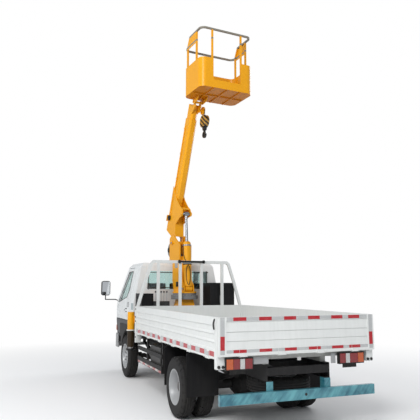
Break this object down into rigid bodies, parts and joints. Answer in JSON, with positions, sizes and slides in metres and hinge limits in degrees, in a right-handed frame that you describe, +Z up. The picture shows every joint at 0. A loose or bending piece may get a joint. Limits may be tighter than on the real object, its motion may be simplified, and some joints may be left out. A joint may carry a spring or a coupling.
{
  "type": "cherry picker truck",
  "caption": "Light flatbed truck with a slewing telescopic crane boom behind the cab and a work basket and hook on the boom's head, shown with the boom raised.",
  "frame": {"origin": "on the ground, half way between the tailgate's hinges and the front bumper, on the truck's centre line", "axes": "+X forward, +Y to the truck's left, +Z up"},
  "size_m": [5.976, 2.38, 6.17],
  "materials": {
    "white_paint": "gloss",
    "yellow_paint": "gloss",
    "grey_paint": "satin",
    "chassis_paint": "satin",
    "teal_paint": "gloss",
    "zinc_steel": "satin",
    "rod_chrome": "polished",
    "cast_block": "matte",
    "tyre_rubber": "matte",
    "black_plastic": "satin",
    "rubber_flap": "matte",
    "lamp_lens": "gloss",
    "head_lens": "gloss",
    "window_glass": "clear",
    "seat_cloth": "woven"
  },
  "bodies": {
    "truck": {"frame_rails": "chassis_paint", "front_axle": "chassis_paint", "rear_axle": "chassis_paint", "engine_block": "cast_block", "driveline": "chassis_paint", "cab_shell": "white_paint", "cab_glass": "window_glass", "dashboard": "black_plastic", "seats": "seat_cloth", "front_bumper": "white_paint", "headlamps": "head_lens", "wheel_arches": "black_plastic", "mirrors": "black_plastic", "bed_floor": "white_paint", "bed_posts": "white_paint", "headboard_rack": "white_paint", "underrun_bar": "teal_paint", "tail_lamps": "lamp_lens", "side_tanks": "chassis_paint", "side_guards": "chassis_paint", "mudguards": "rubber_flap", "spare_wheel": "tyre_rubber", "crane_base": "yellow_paint", "deck_boxes": "chassis_paint", "control_valves": "zinc_steel"},
    "turret": {"crane_column": "yellow_paint", "winch": "grey_paint"},
    "boom": {"boom_outer": "yellow_paint"},
    "boom_extension": {"boom_inner": "yellow_paint"},
    "cylinder_barrel": {"lift_barrel": "yellow_paint"},
    "cylinder_rod": {"lift_rod": "rod_chrome"},
    "basket": {"basket_tub": "yellow_paint", "basket_rails": "zinc_steel"},
    "hook": {"hook_block": "chassis_paint"},
    "tailgate": {"tailgate": "white_paint"},
    "front_wheel_left": {"front_wheel_left": "tyre_rubber"},
    "knuckle_left": {"knuckle_left": "chassis_paint"},
    "rear_wheels_left": {"rear_wheels_left": "tyre_rubber"},
    "cab_door_left": {"cab_door_left": "white_paint", "door_glass_left": "window_glass"},
    "dropside_left": {"dropside_left": "white_paint"},
    "outrigger_beam_left": {"outrigger_beam_left": "yellow_paint"},
    "outrigger_leg_left": {"outrigger_leg_left": "zinc_steel"},
    "front_wheel_right": {"front_wheel_right": "tyre_rubber"},
    "knuckle_right": {"knuckle_right": "chassis_paint"},
    "rear_wheels_right": {"rear_wheels_right": "tyre_rubber"},
    "cab_door_right": {"cab_door_right": "white_paint", "door_glass_right": "window_glass"},
    "dropside_right": {"dropside_right": "white_paint"},
    "outrigger_beam_right": {"outrigger_beam_right": "yellow_paint"},
    "outrigger_leg_right": {"outrigger_leg_right": "zinc_steel"}
  },
  "joints": [
    {"name": "slew", "type": "hinge", "parent": "truck", "child": "turret", "pos_m": [1.095, 0, 1.56], "axis": [0, 0, 1], "range_deg": [-180, 180]},
    {"name": "luff", "type": "hinge", "parent": "turret", "child": "boom", "pos_m": [1.39386, 0.02615, 2.5], "axis": [-0.0872, 0.9962, 0], "range_deg": [-52.4, 10.6]},
    {"name": "telescope", "type": "slide", "parent": "boom", "child": "boom_extension", "axis": [-0.3828, -0.0335, 0.9232], "range_m": [0, 1.75]},
    {"name": "barrel_swing", "type": "hinge", "parent": "turret", "child": "cylinder_barrel", "pos_m": [0.93063, -0.01438, 1.64], "axis": [-0.0872, 0.9962, 0], "range_deg": [-16.5, 3.5]},
    {"name": "rod_slide", "type": "slide", "parent": "cylinder_barrel", "child": "cylinder_rod", "axis": [0.0809, 0.0071, 0.9967], "range_m": [-0.452, 0.094]},
    {"name": "basket_level", "type": "hinge", "parent": "boom_extension", "child": "basket", "pos_m": [0.53708, -0.04881, 5.01891], "axis": [-0.0872, 0.9962, 0], "range_deg": [-11, 53]},
    {"name": "hook_hang", "type": "hinge", "parent": "boom_extension", "child": "hook", "pos_m": [0.62491, -0.17765, 4.90335], "axis": [-0.0872, 0.9962, 0], "range_deg": [-11, 53]},
    {"name": "tailgate_hinge", "type": "hinge", "parent": "truck", "child": "tailgate", "pos_m": [-2.979, 0, 0.935], "axis": [0, -1, 0], "range_deg": [0, 180]},
    {"name": "steer_left", "type": "hinge", "parent": "truck", "child": "knuckle_left", "pos_m": [1.928, 0.6, 0.382], "axis": [0, 0, 1], "range_deg": [-35, 35]},
    {"name": "front_roll_left", "type": "hinge", "parent": "knuckle_left", "child": "front_wheel_left", "pos_m": [1.928, 0.8, 0.382], "axis": [0, 1, 0], "continuous": true},
    {"name": "rear_roll_left", "type": "hinge", "parent": "truck", "child": "rear_wheels_left", "pos_m": [-1.432, 0.775, 0.382], "axis": [0, 1, 0], "continuous": true},
    {"name": "door_left", "type": "hinge", "parent": "truck", "child": "cab_door_left", "pos_m": [2.8, 0.865, 1.3], "axis": [0, 0, -1], "range_deg": [0, 70]},
    {"name": "dropside_hinge_left", "type": "hinge", "parent": "truck", "child": "dropside_left", "pos_m": [-1.1, 1.009, 0.9], "axis": [-1, 0, 0], "range_deg": [0, 175]},
    {"name": "outrigger_slide_left", "type": "slide", "parent": "truck", "child": "outrigger_beam_left", "axis": [0, 1, 0], "range_m": [0, 0.55]},
    {"name": "leg_slide_left", "type": "slide", "parent": "outrigger_beam_left", "child": "outrigger_leg_left", "axis": [0, 0, -1], "range_m": [0, 0.54]},
    {"name": "steer_right", "type": "hinge", "parent": "truck", "child": "knuckle_right", "pos_m": [1.928, -0.6, 0.382], "axis": [0, 0, 1], "range_deg": [-35, 35]},
    {"name": "front_roll_right", "type": "hinge", "parent": "knuckle_right", "child": "front_wheel_right", "pos_m": [1.928, -0.8, 0.382], "axis": [0, 1, 0], "continuous": true},
    {"name": "rear_roll_right", "type": "hinge", "parent": "truck", "child": "rear_wheels_right", "pos_m": [-1.432, -0.775, 0.382], "axis": [0, 1, 0], "continuous": true},
    {"name": "door_right", "type": "hinge", "parent": "truck", "child": "cab_door_right", "pos_m": [2.8, -0.865, 1.3], "axis": [0, 0, 1], "range_deg": [0, 70]},
    {"name": "dropside_hinge_right", "type": "hinge", "parent": "truck", "child": "dropside_right", "pos_m": [-1.1, -1.009, 0.9], "axis": [1, 0, 0], "range_deg": [0, 175]},
    {"name": "outrigger_slide_right", "type": "slide", "parent": "truck", "child": "outrigger_beam_right", "axis": [0, -1, 0], "range_m": [0, 0.55]},
    {"name": "leg_slide_right", "type": "slide", "parent": "outrigger_beam_right", "child": "outrigger_leg_right", "axis": [0, 0, -1], "range_m": [0, 0.54]}
  ],
  "couplings": [
    {"joint": "barrel_swing", "follows": "luff", "ratio": 0.3},
    {"joint": "rod_slide", "follows": "luff", "m_per_rad": 0.49},
    {"joint": "basket_level", "follows": "luff", "ratio": -1},
    {"joint": "hook_hang", "follows": "luff", "ratio": -1},
    {"joint": "steer_right", "follows": "steer_left", "ratio": 1}
  ]
}
